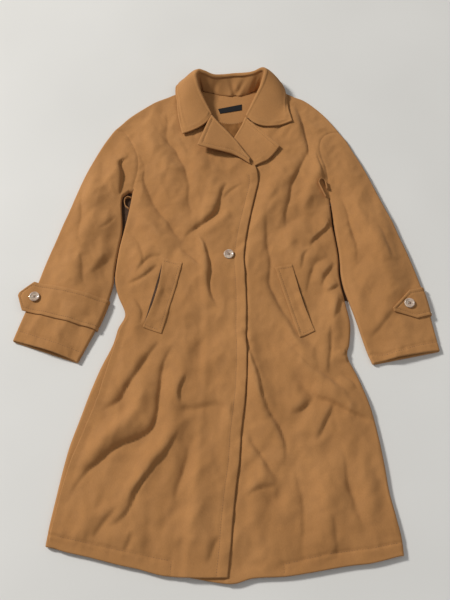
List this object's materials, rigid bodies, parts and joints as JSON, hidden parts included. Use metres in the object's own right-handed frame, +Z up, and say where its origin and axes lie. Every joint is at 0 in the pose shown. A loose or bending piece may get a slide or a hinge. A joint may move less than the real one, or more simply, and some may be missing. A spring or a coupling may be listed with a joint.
{
  "type": "long camel overcoat",
  "caption": "Long camel overcoat laid flat on its back and closed by a front button, with notched lapels, welt pockets, pointed sleeve tabs and belt loops.",
  "frame": {"origin": "centre of the bounding box of the laid coat, on the surface it lies on", "axes": "+Y along the coat from the hem to the collar, +Z up out of the front, +X to the wearer's left sleeve"},
  "size_m": [0.8802, 1.1714, 0.0476],
  "materials": {
    "cloth": "brushed camel coating with a short nap, matt",
    "lining": "smooth tan lining with a slight sheen",
    "label": "plain black woven tape",
    "button": "pearly brown-pink, polished"
  },
  "bodies": {
    "root": {"back": "cloth", "front_right": "cloth", "front_left": "cloth", "sleeve_right": "cloth", "sleeve_left": "cloth", "collar": "cloth", "lapel_right": "cloth", "lapel_left": "cloth", "pocket_welt_right": "cloth", "pocket_welt_left": "cloth", "sleeve_tab_right": "cloth", "sleeve_tab_left": "cloth", "belt_loop_right": "cloth", "belt_loop_left": "cloth", "neck_facing": "cloth", "back_lining": "lining", "neck_label": "label", "button_front": "button", "button_tab_right": "button", "button_tab_left": "button"}
  },
  "joints": []
}
